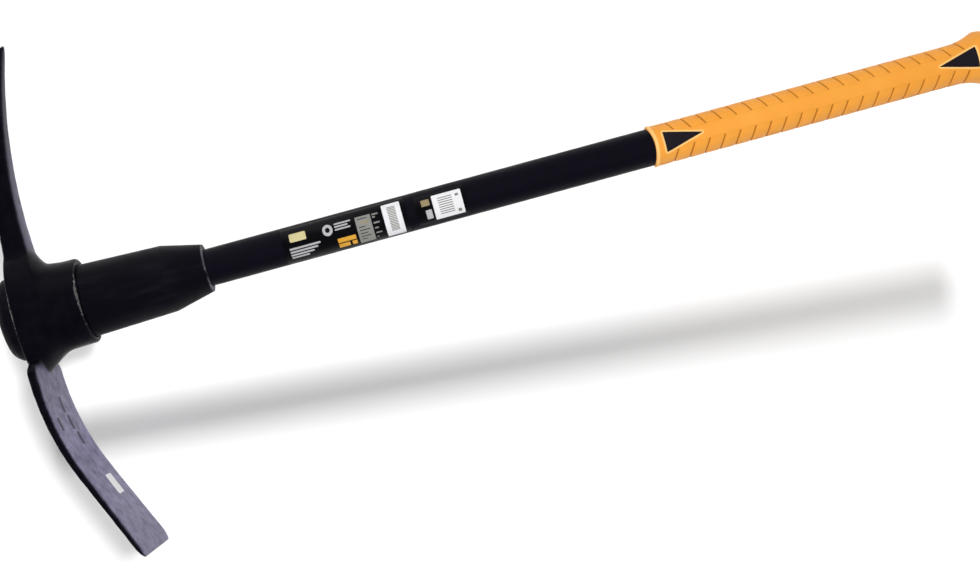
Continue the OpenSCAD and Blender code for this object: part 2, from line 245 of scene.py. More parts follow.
# Eye sleeve
# A black moulding glued over the end of the rod: its flared top stops the head, its taper fills the
# eye, and its nose slopes down to a step that the shaft runs out of.
eye_top, eye_bottom, nose_start, step_x = 13, 73, 147, 183
sleeve_depth_share, sleeve_round = 49 / 68, 0.9
socket_half_h, socket_half_d, shaft_fit = 14.7, 10.75, 0.15
flared_top = [(0, 32), (2, 34.4), (6, 37.2), (eye_top, 36.5)]
taper_and_nose = [(eye_top, 33.8), (eye_bottom, 32.8), (nose_start, 30.1), (step_x, 21.5)]
outside = [oval(x, half, half * sleeve_depth_share) for x, half in flared_top + taper_and_nose]
inside = [
    oval(step_x, shaft_half_h + shaft_fit, shaft_half_d + shaft_fit),
    oval(jacket_top, shaft_half_h + shaft_fit, shaft_half_d + shaft_fit),
    oval(jacket_top, socket_half_h, socket_half_d),
    oval(0, socket_half_h, socket_half_d),
]
bm = bmesh.new()
rings = oval_sweep(bm, outside + inside)
bmesh.ops.bridge_loops(bm, edges=ring_edges(rings[0]) + ring_edges(rings[-1]))
soften(bm, [rings[k] for k in (1, 2, 3, 6, 7)], sleeve_round)

# Moulded glass-filled nylon: black, half matt from the mould's grain, which is drawn coarser than it
# is so that it shows, with long faint streaks of painted sheen and a broken painted highlight on the
# edge of the step.
sleeve_grain_mm, rub_mm, sheen_streak_mm, lengthwise = 0.7, 12, 6, 0.15
step_highlight_start, step_highlight_end = 1.6, 0.6
sleeve_nylon, tree, place = new_finish("black_glass_filled_nylon")
grain = add(tree, "TexNoise", {"Vector": place, "Scale": 1000 / sleeve_grain_mm, "Detail": 2})
rubs = add(tree, "TexNoise", {"Vector": place, "Scale": 1000 / rub_mm, "Detail": 5, "Roughness": 0.65})
tint = add(tree, "Mix", {
    0: rubs.outputs[0], 6: linear("06050A"), 7: linear("0C0A13"),
}, data_type="RGBA")
roughness = add(tree, "MapRange", {
    "Value": rubs.outputs[0], "From Min": 0.3, "From Max": 0.75, "To Min": 0.46, "To Max": 0.62,
})
along = add(tree, "SeparateXYZ", {0: place})
# A broken painted highlight runs along the edge of the step.
at_step = add(tree, "MapRange", {
    "Value": along.outputs["X"],
    "From Min": (step_x - step_highlight_start) / 1000,
    "From Max": (step_x - step_highlight_end) / 1000,
})
spots = add(tree, "MapRange", {"Value": rubs.outputs[0], "From Min": 0.42, "From Max": 0.6})
step_highlight = add(tree, "Math", {0: at_step.outputs[0], 1: spots.outputs[0]}, operation="MULTIPLY")
# Long streaks of painted sheen run along the sleeve.
drawn = add(tree, "Mapping", {"Vector": place, "Scale": (lengthwise, 1, 1)})
sheen_streaks = add(tree, "TexNoise", {"Vector": drawn.outputs[0], "Scale": 1000 / sheen_streak_mm, "Detail": 4})
roving_and_sheen_streak = add(tree, "MapRange", {"Value": sheen_streaks.outputs[0], "From Min": 0.52, "From Max": 0.72})
tint = add(tree, "Mix", {
    0: roving_and_sheen_streak.outputs[0], 6: tint.outputs[2], 7: linear("110F18"),
}, data_type="RGBA")
tint = add(tree, "Mix", {
    0: step_highlight.outputs[0], 6: tint.outputs[2], 7: linear("6E6C75"),
}, data_type="RGBA")
bump = add(tree, "Bump", {"Height": grain.outputs[0], "Strength": 0.2, "Distance": 0.0002})
shader = add(tree, "BsdfPrincipled", {
    "Base Color": tint.outputs[2],
    "Roughness": roughness.outputs[0],
    "IOR": 1.25,
    "Normal": bump.outputs[0],
})
add(tree, "OutputMaterial", {"Surface": shader.outputs[0]})
put_on_tool("eye_sleeve_moulding", bm, sleeve_nylon, "sleeve", "eye_sleeve")


# Forged head
# One forging in carbon steel: an eye whose collar flares into both arms, a curved pick and a broad
# bent blade. It is drop forged, ground at its edges, lacquered black and slid on over the butt.
def ramp(value, start, length):
    """How far a value has come along a stretch, from 0 to 1; a negative length runs backwards."""
    return max(0, min(1, (value - start) / length))


def ease(share):
    """A share from 0 to 1 that starts and ends gently."""
    return share * share * (3 - 2 * share)


# The eye: a loft of ovals that reach further towards each arm at the top, in gussets, and further on
# the pick's side at the collar. A pair is the place where a change starts and the length it takes.
eye_half_h, eye_taper, eye_half_d = 39.5, 1.75, 29.5
bore_top, bore_bottom = (34, 24.5), (33, 23.78)
pick_gusset, pick_gusset_run = 18, (48, -12.5)
blade_gusset, blade_gusset_run = 17, (50, -37)
collar_low, collar_more, collar_rise, collar_fall = 1.1, 1.4, (28, 10), (58, -14)
eye_steps, eye_sides, rim_bevel = 16, 128, 1.5
sections = []
for k in range(eye_steps + 1):
    x = eye_top + (eye_bottom - eye_top) * k / eye_steps
    half = eye_half_h - eye_taper * k / eye_steps
    collar = ramp(x, *collar_rise) * (collar_low + collar_more * ramp(x, *collar_fall))
    pick_more = pick_gusset * ramp(x, *pick_gusset_run) ** 2 + collar
    blade_more = blade_gusset * ease(ramp(x, *blade_gusset_run))
    sections.append((x, half, pick_more, blade_more))
outside = [oval(x, half, eye_half_d) for x, half, _, _ in sections]
inside = [oval(eye_bottom, *bore_bottom), oval(eye_top, *bore_top)]
bm = bmesh.new()
rings = oval_sweep(bm, outside + inside, sides=eye_sides)
for ring, (_, half, pick_more, blade_more) in zip(rings, sections):
    pick_side = [v for v in ring if v.co.y > 0]
    blade_side = [v for v in ring if v.co.y < 0]
    bmesh.ops.scale(bm, vec=(1, 1 + pick_more / half, 1), verts=pick_side)
    bmesh.ops.scale(bm, vec=(1, 1 + blade_more / half, 1), verts=blade_side)
bmesh.ops.bridge_loops(bm, edges=ring_edges(rings[0]) + ring_edges(rings[-1]))
soften(bm, [rings[0], rings[eye_steps]], rim_bevel)


def oblong_arm(bm, corner_share, places):
    """A closed arm of rounded oblong section, drawn through places that take a unit square."""
    quad = bmesh.ops.create_grid(bm, x_segments=1, y_segments=1, size=1)["verts"]
    rounded = bmesh.ops.bevel(
        bm, geom=quad, offset=corner_share, affect="VERTICES", segments=4, profile=0.5, material=-1
    )
    ring = rounded["verts"]
    bmesh.ops.delete(bm, geom=list({f for v in ring for f in v.link_faces}), context="FACES_ONLY")
    bmesh.ops.transform(bm, matrix=places[0], verts=ring)
    rings = sweep(bm, ring, places)
    for end in (rings[0], rings[-1]):
        bmesh.ops.edgeloop_fill(bm, edges=ring_edges(end))


# The pick: a loft on spokes of one large circle, deeper at its root, that ends in a blunt point.
pick_bend_r, pick_level, pick_drop, pick_steps = 510, 80, 22.5, 40
pick_root, pick_root_end, pick_reach, point_len = 34, 64, 239, 9
pick_root_t, pick_end_t, point_t = 24, 7, 2.8
pick_root_d, pick_end_d, point_d, root_more_d = 26, 8, 3.2, 18
pick_corner = 0.22


def pick_place(turn, thick, deep):
    """A section of the pick, on a spoke of the circle that its inner edge follows."""
    c, s, r = math.cos(turn), math.sin(turn), pick_bend_r + thick / 2
    return Matrix((
        (-c * thick / 2, 0, s, eye_top + pick_drop + pick_bend_r - r * c),
        (s * thick / 2, 0, c, pick_level + r * s),
        (0, deep / 2, 0, 0),
        (0, 0, 0, 1),
    ))


root_turn = math.asin((pick_root - pick_level) / pick_bend_r)
root_end_turn = math.asin((pick_root_end - pick_level) / pick_bend_r)
point_turn = math.asin((pick_reach - pick_level) / (pick_bend_r + pick_end_t / 2))
end_turn = point_turn - math.asin(point_len / pick_bend_r)
places = []
for k in range(pick_steps + 1):
    share = k / pick_steps
    turn = root_turn + (end_turn - root_turn) * share
    in_root = max(0, (root_end_turn - turn) / (root_end_turn - root_turn))
    thick = pick_root_t - (pick_root_t - pick_end_t) * share
    deep = pick_root_d - (pick_root_d - pick_end_d) * share + root_more_d * in_root**2
    places.append(pick_place(turn, thick, deep))
places.append(pick_place(point_turn, point_t, point_d))
oblong_arm(bm, pick_corner, places)

# The blade: it widens from the eye to its shoulders, bends, and runs straight to a cutting bevel,
# which is given by the distance from the edge, the thickness and the width.
blade_drop, blade_root, blade_reach, bevel_len = 2, 34, 228, 9
bend_r, bend_angle, bend_start = 245, math.radians(23.5), 50
root_t, end_t, root_w, end_w, blade_corner = 9, 5, 70, 90, 0.12
root_steps, face_steps = 8, 24
cutting_bevel = ((4, 3.3, 89.5), (2, 2.5, 88), (0.7, 2, 85.5), (0, 1.7, 82))
blade_x = eye_top + blade_drop + root_t / 2
bend_len = bend_r * bend_angle
bend_end = Vector((
    blade_x + bend_r * (1 - math.cos(bend_angle)),
    -bend_start - bend_r * math.sin(bend_angle),
))
down = Vector((math.sin(bend_angle), -math.cos(bend_angle)))
straight_len = (blade_reach + bend_end.y) / math.cos(bend_angle) - bevel_len
face_len = bend_len + straight_len
cutting_edge = bend_end + down * (straight_len + bevel_len)


def blade_place(x, y, turn, thick, wide):
    """A section of the blade, square to its middle line."""
    c, s = math.cos(turn), math.sin(turn)
    return Matrix((
        (c * thick / 2, 0, s, x),
        (s * thick / 2, 0, -c, y),
        (0, wide / 2, 0, 0),
        (0, 0, 0, 1),
    ))


def blade_line(run):
    """The blade's middle at a run from the start of its bend: x, y, turn and thickness."""
    thick = root_t + (end_t - root_t) * run / face_len
    if run > bend_len:
        return *(bend_end + down * (run - bend_len)), bend_angle, thick
    turn = run / bend_r
    return blade_x + bend_r * (1 - math.cos(turn)), -bend_start - bend_r * math.sin(turn), turn, thick


places = []
for k in range(root_steps):
    share = k / root_steps
    y = -blade_root - (bend_start - blade_root) * share
    places.append(blade_place(blade_x, y, 0, root_t, eye_half_d + (root_w - eye_half_d) * ease(share)))
for k in range(face_steps + 1):
    share = k / face_steps
    places.append(blade_place(*blade_line(face_len * share), root_w + (end_w - root_w) * share))
for to_edge, thick, wide in cutting_bevel:
    x, y = bend_end + down * (straight_len + bevel_len - to_edge)
    places.append(blade_place(x, y, bend_angle, thick, wide))
oblong_arm(bm, blade_corner, places)

# The three forms become one skin, as the dies make them, with a fillet wherever they meet and the
# faint waves of forged steel.
skin_mm, fillet_passes = 0.96, 7
forge_wave_mm, forge_wave_height = 16, 0.18
rough = bpy.data.meshes.new("head_forms")
bmesh.ops.recalc_face_normals(bm, faces=bm.faces)
bm.to_mesh(rough)
bm.free()
billet = bpy.data.objects.new("head_forms", rough)
bpy.context.scene.collection.objects.link(billet)
die = billet.modifiers.new("one_skin", "REMESH")
die.mode = "VOXEL"
die.voxel_size = skin_mm
bpy.context.view_layer.update()
bm = bmesh.new()
bm.from_mesh(billet.evaluated_get(bpy.context.evaluated_depsgraph_get()).to_mesh())
bpy.data.objects.remove(billet)
for k in range(fillet_passes):
    bmesh.ops.smooth_vert(
        bm, verts=bm.verts, factor=0.5, use_axis_x=True, use_axis_y=True, use_axis_z=True
    )
bm.normal_update()
for v in bm.verts:
    v.co += v.normal * forge_wave_height * noise.noise(v.co / forge_wave_mm)
bm.normal_update()


def even_out(bm, layer, passes):
    """Averages a value on each vertex with its neighbours' values."""
    for k in range(passes):
        before = {v: v[layer] for v in bm.verts}
        for v in bm.verts:
            near = [before[e.other_vert(v)] for e in v.link_edges]
            v[layer] = (before[v] + sum(near)) / (1 + len(near))


# Each vertex keeps three shares. The inner share is a painted reflection of the pale floor on the
# ground inner face of each arm, and the arris share is a painted highlight along the arrises of that
# face. The edge share is the lacquer rubbed off on the eye's rims, the point and the cutting edge,
# with a painted glint near the middle of each rim.
# A pair is again the place where a change starts and the length it takes.
inner_lean, arris_lean, arris_spread = (7 / 9, 1 / 9), 0.4, 0.2
pick_ground, tip_fade, under_side = (50, 10), (100, 60), (11, -22)
pick_reflection, tip_less, upper_reflection = 0.78, 0.6, 0.2
blade_ground, blade_middle, blade_end = (43, 6), (60, 50), (160, 50)
blade_reflection, middle_more, end_less = 0.64, 0.36, 0.2
gusset_end, gusset_face = 60, blade_x + root_t / 2 + 0.8
edge_rub, point_rub, tip_wear = (3, -3), (229, 8), 0.75
rim_reach, top_rim_x, bottom_rim_x, rim_gain = (36, -4), 16.5, 69, 7
rim_wear, rim_glint_middle, rim_glint_spread = 0.6, 4, 17
wear_and_glint_layer = bm.verts.layers.float.new("edge")
inner_layer = bm.verts.layers.float.new("inner")
arris_layer = bm.verts.layers.float.new("arris")
for v in bm.verts:
    reach = abs(v.co.y)
    if v.co.y > 0:
        on_arm = ramp(reach, *pick_ground)
        side = upper_reflection + (1 - upper_reflection) * ramp(v.co.z, *under_side)
        reflection_share = pick_reflection * (1 - tip_less * ramp(reach, *tip_fade)) * side
    else:
        on_gusset = reach < gusset_end and v.co.x > gusset_face
        on_arm = 0 if on_gusset else ramp(reach, *blade_ground)
        reflection_share = blade_reflection + middle_more * ramp(reach, *blade_middle) - end_less * ramp(reach, *blade_end)
    # The inner share paints the floor's reflection: lighter towards the pick's lower side and the blade's
    # middle, fainter towards the tips.
    v[inner_layer] = ramp(v.normal.x, *inner_lean) * on_arm * reflection_share
    # The arris share is a painted highlight along the edges of the ground inner faces.
    arris = max(0, 1 - abs(abs(v.normal.z) - arris_lean) / arris_spread)
    v[arris_layer] = arris * on_arm * reflection_share if v.normal.x > 0 else 0
    bend = sum(e.calc_face_angle_signed(0) for e in v.link_edges) / len(v.link_edges)
    on_rim = ramp(reach, *rim_reach) * (v.co.x < top_rim_x or v.co.x > bottom_rim_x)
    # Near the middle of each rim the bare steel is made stronger, as a painted glint.
    rim = rim_wear + (1 - rim_wear) * math.exp(-(((v.co.y - rim_glint_middle) / rim_glint_spread) ** 2))
    on_tip = max(ramp((cutting_edge - v.co.xy).dot(down), *edge_rub), ramp(v.co.y, *point_rub))
    v[wear_and_glint_layer] = max(0, min(1, bend * rim_gain)) * on_rim * rim + tip_wear * on_tip
even_out(bm, wear_and_glint_layer, 2)
even_out(bm, inner_layer, 2)
even_out(bm, arris_layer, 1)

# Baked lacquer on a forging: deep blue-black that lies in soft waves, with a fine peel. The ground
# inner faces are painted grey-violet as a reflection of the floor, smudged along them, with a paler
# painted highlight along their arrises. The rims and the tips are rubbed to steel in spots, and on
# the rims the bare steel also paints a glint.
peel_mm, smudge_mm, rub_mm = 1.1, 9, 2
lacquer, tree, place = new_finish("black_lacquer_on_forged_steel")
peel = add(tree, "TexNoise", {"Vector": place, "Scale": 1000 / peel_mm, "Detail": 3, "Roughness": 0.6})
smudges = add(tree, "TexNoise", {"Vector": place, "Scale": 1000 / smudge_mm, "Detail": 5, "Roughness": 0.6})
blots = add(tree, "MapRange", {"Value": smudges.outputs[0], "From Min": 0.3, "From Max": 0.7})
rubs = add(tree, "TexNoise", {"Vector": place, "Scale": 1000 / rub_mm, "Detail": 4, "Roughness": 0.7})
# The edge share is real wear to bare steel, and on the rims also a painted glint.
wear_and_glint = add(tree, "Attribute", attribute_name="edge")
worn_and_glint = add(tree, "Math", {0: wear_and_glint.outputs["Fac"], 1: rubs.outputs[0]}, operation="MULTIPLY")
bare_and_glint = add(tree, "MapRange", {"Value": worn_and_glint.outputs[0], "From Min": 0.36, "From Max": 0.52})
coat = add(tree, "Mix", {
    0: blots.outputs[0], 6: linear("06050A"), 7: linear("0C0A13"),
}, data_type="RGBA")
# This grey-violet is a painted reflection of the floor on the ground inner faces.
floor_reflection = add(tree, "Mix", {
    0: blots.outputs[0], 6: linear("5C5776"), 7: linear("9B96B7"),
}, data_type="RGBA")
inner = add(tree, "Attribute", attribute_name="inner")
skin = add(tree, "Mix", {
    0: inner.outputs["Fac"], 6: coat.outputs[2], 7: floor_reflection.outputs[2],
}, data_type="RGBA")
# A paler painted highlight runs, broken up, along the arrises of the ground faces.
arris = add(tree, "Attribute", attribute_name="arris")
glint_breaks = add(tree, "MapRange", {
    "Value": rubs.outputs[0], "From Min": 0.3, "From Max": 0.6, "To Max": 0.7,
})
arris_highlight = add(tree, "Math", {0: arris.outputs["Fac"], 1: glint_breaks.outputs[0]}, operation="MULTIPLY")
skin = add(tree, "Mix", {
    0: arris_highlight.outputs[0], 6: skin.outputs[2], 7: linear("A09CAF"),
}, data_type="RGBA")
tint = add(tree, "Mix", {
    0: bare_and_glint.outputs[0], 6: skin.outputs[2], 7: linear("A5A3A4"),
}, data_type="RGBA")
roughness = add(tree, "MapRange", {
    "Value": smudges.outputs[0], "From Min": 0.3, "From Max": 0.7, "To Min": 0.34, "To Max": 0.48,
})
bump = add(tree, "Bump", {"Height": peel.outputs[0], "Strength": 0.15, "Distance": 0.0003})
shader = add(tree, "BsdfPrincipled", {
    "Base Color": tint.outputs[2],
    "Metallic": bare_and_glint.outputs[0],
    "Roughness": roughness.outputs[0],
    "IOR": 1.22,
    "Normal": bump.outputs[0],
})
add(tree, "OutputMaterial", {"Surface": shader.outputs[0]})
forged_head = put_on_tool("forged_head", bm, lacquer, "head", "mattock_head", crease=180)


# Grip
# Orange rubber moulded over the thin end of the jacket: an oval sleeve with a bead round its front
# edge, a flat panel along each face, two rows of slanting grooves beside it, and a flared butt.
grip_half_h, grip_half_d, grip_end = 18.3, 14.3, 914
flare_start, butt_start, flare_half, butt_half, butt_round = 864, 898, 24, 16, 1
groove_first, groove_pitch, groove_count, groove_w, groove_deep = 614, 14.2, 20, 1.8, 1
groove_turn, end_groove_turn, groove_lean, groove_inner, row_round = 67.5, 60, 0.52, 6.7, 2
groove_wall, groove_lip = 0.35, 0.3
lean_start, lean_end = (596, 10), (897, -13)
panel_start, panel_end, panel_step, panel_line_shade = (602, 8), (894, -10), 0.2, 0.08
turn_slack, place_slack = 1, 0.1


def grip_half(x):
    """Half the grip's height at x: straight, then flared, then rounded off."""
    if x <= flare_start:
        return grip_half_h
    if x <= butt_start:
        share = (x - flare_start) / (butt_start - flare_start)
        return grip_half_h + (flare_half - grip_half_h) * share**3
    share = min(1, (x - butt_start) / (grip_end - butt_start))
    return butt_half + (flare_half - butt_half) * math.sqrt(1 - share * share)


def lean(x, y):
    """How far the grip's rings lean at height y: drawn back at the front edge, square at the butt."""
    rows = -groove_lean * (math.hypot(y, row_round) - groove_inner)
    scallop = front_scallop * (1 - (y / grip_half_h) ** 2)
    return scallop + (rows * ease(ramp(x, *lean_end)) - scallop) * ease(ramp(x, *lean_start))


def turn_on_grip(point):
    """The turn of a point of the plain oval, in degrees from the grip's edge to its face."""
    return math.degrees(math.atan2(abs(point.z) / grip_half_d, abs(point.y) / grip_half_h))


# The oval is drawn through a ring at each bend of the bead, each side of a groove, two on the land
# after it, and more on the butt. Then the rings lean and swell, and the grooves are let in.
bead = {grip_front: -0.5, grip_front + 0.6: 0.5, grip_front + 2.6: 0.6, grip_front + 3.6: 0}
front_rings, land_rings, butt_rings, rows_end = [598, 602, 606, 610], (5.8, 9.9), [889, 892], 887
stations = list(bead) + front_rings
for k in range(groove_count):
    start = groove_first + groove_pitch * k
    stations += [start, start + groove_w] + [start + land for land in land_rings]
stations = [x for x in stations if x < rows_end] + butt_rings + [butt_start]
stations += [butt_start + (grip_end - butt_start) * math.sin(math.radians(a)) for a in range(10, 91, 10)]
bm = bmesh.new()
highlight_layer = bm.verts.layers.float.new("raised")
groove_shade_layer = bm.verts.layers.float.new("groove")
rings = oval_sweep(bm, [oval(x, grip_half_h, grip_half_d) for x in stations])
groove_faces = []
for f in bm.faces:
    centre = f.calc_center_median()
    k = round((centre.x - groove_first - groove_w / 2) / groove_pitch)
    off = centre.x - groove_first - groove_w / 2 - k * groove_pitch
    limit = end_groove_turn if k in (0, groove_count - 1) else groove_turn
    if 0 <= k < groove_count and abs(off) < place_slack and turn_on_grip(centre) < limit:
        groove_faces.append(f)
for ring, x in zip(rings, stations):
    proud = bead.get(x, 0)
    sunk = panel_step * min(ramp(x, *panel_start), ramp(x, *panel_end))
    for v in ring:
        turn = turn_on_grip(v.co)
        v.co.x += lean(x, v.co.y)
        beside = sunk if turn < groove_turn + turn_slack else 0
        size = (grip_half(v.co.x) + proud - beside) / grip_half_h
        v.co.y *= size
        v.co.z *= size
        # The bead takes a painted highlight, and a thin line of painted shade runs where each panel steps
        # down.
        v[highlight_layer] = 1 if proud > 0 else 0
        v[groove_shade_layer] = panel_line_shade * sunk / panel_step if abs(turn - groove_turn) < turn_slack else 0
bmesh.ops.edgeloop_fill(bm, edges=ring_edges(rings[-1]))
inside = oval_sweep(bm, [
    oval(grip_front, covered_half_h, covered_half_d),
    oval(jacket_end, covered_half_h, covered_half_d),
])
follow_front(inside[0])
bmesh.ops.edgeloop_fill(bm, edges=ring_edges(inside[1]))
bmesh.ops.bridge_loops(bm, edges=ring_edges(rings[0]) + ring_edges(inside[0]))
bmesh.ops.recalc_face_normals(bm, faces=bm.faces)
walls = bmesh.ops.inset_region(
    bm,
    faces=groove_faces,
    thickness=groove_wall,
    depth=-groove_deep,
    use_boundary=True,
    use_even_offset=True,
)["faces"]
# Painted shade darkens the bottom of each groove.
for f in groove_faces:
    for v in f.verts:
        v[groove_shade_layer] = 1
cut = set(walls) | set(groove_faces)
lips = [e for f in walls for e in f.edges if not cut.issuperset(e.link_faces)]
bmesh.ops.bevel(
    bm, geom=lips, offset=groove_lip, affect="EDGES", segments=2, profile=0.5, material=-1
)
soften(bm, [rings[-1]], butt_round)

# Thermoplastic rubber: warm orange, matt with a fine grain, drawn coarser than it is so that it shows.
# A painted highlight lightens the raised bead and the inlays' rims, and painted shade darkens the
# grooves and a thin line along each panel's edge.
grain_mm, patch_mm = 0.8, 30
rubber, tree, place = new_finish("moulded_orange_rubber")
grain = add(tree, "TexNoise", {"Vector": place, "Scale": 1000 / grain_mm, "Detail": 2})
patches = add(tree, "TexNoise", {"Vector": place, "Scale": 1000 / patch_mm, "Detail": 4})
groove_shade = add(tree, "Attribute", attribute_name="groove")
bead_highlight = add(tree, "Attribute", attribute_name="raised")
body = add(tree, "Mix", {
    0: patches.outputs[0], 6: linear("EB9833"), 7: linear("F3A743"),
}, data_type="RGBA")
# A painted highlight lightens the raised bead and the inlays' rims.
lit = add(tree, "Mix", {
    0: bead_highlight.outputs["Fac"], 6: body.outputs[2], 7: linear("FCC677"),
}, data_type="RGBA")
# Painted shade darkens the grooves.
tint = add(tree, "Mix", {
    0: groove_shade.outputs["Fac"], 6: lit.outputs[2], 7: linear("B67426"),
}, data_type="RGBA")
bump = add(tree, "Bump", {"Height": grain.outputs[0], "Strength": 0.25, "Distance": 0.0002})
shader = add(tree, "BsdfPrincipled", {
    "Base Color": tint.outputs[2], "Roughness": 0.55, "IOR": 1.5, "Normal": bump.outputs[0],
})
add(tree, "OutputMaterial", {"Surface": shader.outputs[0]})
put_on_tool("rubber_grip", bm, rubber, "grip", "grip")


# Inlays
# Black triangles let into both faces of the grip, one pair near its front edge and one on the flare.
# Each is a thin rubber plate behind a raised orange rim.
def slice_up(bm, axis, spacing):
    """Cuts every face at even steps along an axis, so that a plate can follow a curve."""
    low = min(v.co[axis] for v in bm.verts)
    high = max(v.co[axis] for v in bm.verts)
    way = Vector([1 if i == axis else 0 for i in range(3)])
    count = math.ceil((high - low) / spacing)
    for k in range(1, count):
        geom = bm.verts[:] + bm.edges[:] + bm.faces[:]
        cut = way * (low + (high - low) * k / count)
        bmesh.ops.bisect_plane(bm, geom=geom, plane_co=cut, plane_no=way)


def keep_border(bm, width):
    """Draws a border of this width round a flat face, and takes the face away."""
    field = bm.faces[:]
    centre = field[0].calc_center_median()
    made = bmesh.ops.extrude_edge_only(bm, edges=bm.edges[:])["geom"]
    ring = [part for part in made if isinstance(part, bmesh.types.BMVert)]
    near = {v: [] for v in ring}
    for e in ring_edges(ring):
        near[e.verts[0]].append(e.verts[1].co.copy())
        near[e.verts[1]].append(e.verts[0].co.copy())
    for v, (one, other) in near.items():
        out = Vector((one.y - other.y, other.x - one.x, 0)).normalized()
        v.co += out * width * (1 if out.dot(v.co - centre) > 0 else -1)
    bmesh.ops.delete(bm, geom=field, context="FACES_ONLY")


def raise_plate(bm, heights, round_off):
    """Turns flat faces into a plate between two heights, with its top edge rounded."""
    low, high = heights
    made = bmesh.ops.extrude_face_region(bm, geom=bm.faces[:])["geom"]
    top = [part for part in made if isinstance(part, bmesh.types.BMVert)]
    bmesh.ops.translate(bm, vec=(0, 0, high - low), verts=top)
    bmesh.ops.translate(bm, vec=(0, 0, low), verts=bm.verts)
    inside = set(top)
    lid = {f for v in top for f in v.link_faces if inside.issuperset(f.verts)}
    rim = [e for e in ring_edges(top) if not lid.issuperset(e.link_faces)]
    bmesh.ops.bevel(
        bm, geom=rim, offset=round_off, affect="EDGES", segments=2, profile=0.5, material=-1
    )


def lay_on_grip(bm):
    """Bends flat plates onto one face of the grip, and mirrors them onto the other."""
    for v in bm.verts:
        half = grip_half(v.co.x)
        v.co.z += grip_half_d / grip_half_h * half * math.sqrt(1 - (v.co.y / half) ** 2)
    twin = bmesh.ops.duplicate(bm, geom=bm.verts[:] + bm.edges[:] + bm.faces[:])["geom"]
    twin = [part for part in twin if isinstance(part, bmesh.types.BMVert)]
    bmesh.ops.scale(bm, vec=(1, 1, -1), verts=twin)


# Moulded rubber plate: near black and dull, with a grain drawn coarser than it is so that it shows.
inlay_grain_mm = 0.5
inlay_rubber, tree, place = new_finish("dull_black_rubber")
grain = add(tree, "TexNoise", {"Vector": place, "Scale": 1000 / inlay_grain_mm, "Detail": 2})
tint = add(tree, "Mix", {
    0: grain.outputs[0], 6: linear("120F15"), 7: linear("1F1A22"),
}, data_type="RGBA")
bump = add(tree, "Bump", {"Height": grain.outputs[0], "Strength": 0.3, "Distance": 0.0002})
shader = add(tree, "BsdfPrincipled", {
    "Base Color": tint.outputs[2], "Roughness": 0.6, "IOR": 1.5, "Normal": bump.outputs[0],
})
add(tree, "OutputMaterial", {"Surface": shader.outputs[0]})

inlay_half_w, inlay_corner, rim_w = 9.4, 0.8, 1.6
plate_heights, plate_round = (-1, 0.15), 0.1
rim_heights, rim_round = (-1, 0.5), 0.2
slice_across, slice_along = 2, 4
for name, base, tip in (("fore", 603, 638), ("butt", 892, 857)):
    corners = [(base, inlay_half_w), (tip, 0), (base, -inlay_half_w)]
    for kind in ("inlay", "rim"):
        bm = bmesh.new()
        bm.faces.new([bm.verts.new((x, y, 0)) for x, y in corners])
        bmesh.ops.recalc_face_normals(bm, faces=bm.faces)
        bmesh.ops.bevel(
            bm,
            geom=bm.verts[:],
            offset=inlay_corner,
            affect="VERTICES",
            segments=3,
            profile=0.5,
            material=-1,
        )
        if kind == "rim":
            keep_border(bm, rim_w)
        slice_up(bm, 1, slice_across)
        slice_up(bm, 0, slice_along)
        if kind == "inlay":
            raise_plate(bm, plate_heights, plate_round)
            lay_on_grip(bm)
            put_on_tool(f"{name}_triangles", bm, inlay_rubber, "inlay", f"{name}_inlays")
        else:
            raise_plate(bm, rim_heights, rim_round)
            lay_on_grip(bm)
            # The rims take the grip's painted highlight.
            highlight_layer = bm.verts.layers.float.new("raised")
            for v in bm.verts:
                v[highlight_layer] = 1
            put_on_tool(f"{name}_rims", bm, rubber, "grip")


# Shaft labels
# Printed films on the upper face of the shaft: black ones under two white paper stickers, with a few
# plain blocks of colour. They are stuck on by hand and follow the oval of the jacket.
label_r, film_slice, film_round = 14.7, 1.2, 0.02


def lay_on_shaft(bm):
    """Bends flat films, drawn with their height as a length round the shaft, onto the jacket."""
    for v in bm.verts:
        turn = v.co.y / label_r
        v.co.y = (shaft_half_h + v.co.z) * math.sin(turn)
        v.co.z = (shaft_half_d + v.co.z) * math.cos(turn)


def round_shaft(blocks):
    """Blocks given by turns in degrees from the shaft's upper line, as flat blocks."""
    return [(x0, x1, math.radians(turn0) * label_r, math.radians(turn1) * label_r)
            for x0, x1, turn0, turn1 in blocks]


def label(name, finish, slot, lay, heights, blocks, corner_r, discs=()):
    """Films between two heights above a face: blocks of x and y, and discs of x, y and radius."""
    bm = bmesh.new()
    for x0, x1, y0, y1 in blocks:
        bm.faces.new([bm.verts.new((x, y, 0)) for x, y in ((x0, y0), (x1, y0), (x1, y1), (x0, y1))])
    bmesh.ops.bevel(
        bm, geom=bm.verts[:], offset=corner_r, affect="VERTICES", segments=3, profile=0.5, material=-1
    )
    for x, y, r in discs:
        middle_of_disc = Matrix.Translation((x, y, 0))
        bmesh.ops.create_circle(bm, cap_ends=True, segments=32, radius=r, matrix=middle_of_disc)
    bmesh.ops.recalc_face_normals(bm, faces=bm.faces)
    slice_up(bm, 1, film_slice)
    raise_plate(bm, heights, film_round)
    lay(bm)
    put_on_tool(name, bm, finish, slot)


# Printed films and papers: even colours with the faint mottle of ink, under a thin clear coat.
ink_mm = 1.5


def film_finish(name, dark, pale, roughness):
    """A printed film between two shades."""
    finish, tree, place = new_finish(name)
    mottle = add(tree, "TexNoise", {"Vector": place, "Scale": 1000 / ink_mm, "Detail": 4})
    tint = add(tree, "Mix", {0: mottle.outputs[0], 6: linear(dark), 7: linear(pale)}, data_type="RGBA")
    shader = add(tree, "BsdfPrincipled", {
        "Base Color": tint.outputs[2], "Roughness": roughness, "IOR": 1.35,
    })
    add(tree, "OutputMaterial", {"Surface": shader.outputs[0]})
    return finish


